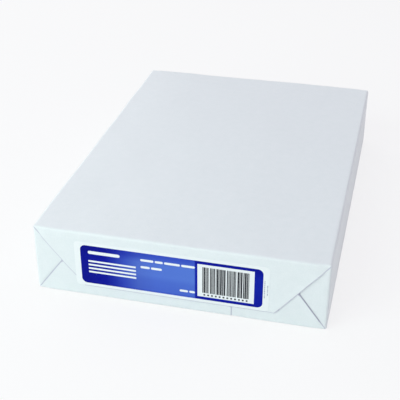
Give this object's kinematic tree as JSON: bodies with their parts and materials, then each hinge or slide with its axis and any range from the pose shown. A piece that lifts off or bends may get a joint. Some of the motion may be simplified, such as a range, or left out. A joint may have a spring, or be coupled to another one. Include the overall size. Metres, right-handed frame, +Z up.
{
  "type": "ream of paper",
  "caption": "Sealed flat pack of A4 office paper in a white coated wrapper with folded ends, and a blue printed label with a bar pattern on one end.",
  "frame": {"origin": "middle of the underside, on the surface that the pack lies on", "axes": "+Y along the sheets' long side, away from the labelled end; +X along their short side; +Z up through the pack's thickness"},
  "size_m": [0.2102, 0.2992, 0.0533],
  "materials": {
    "wrapper": "smooth coated paper with a slight sheen",
    "label_stock": "smooth label paper",
    "blue_ink": "satin print",
    "black_ink": "satin print"
  },
  "bodies": {
    "root": {"wrapped_ream": "wrapper", "end_label": "label_stock", "label_print": "blue_ink", "barcode_print": "black_ink"}
  },
  "joints": []
}
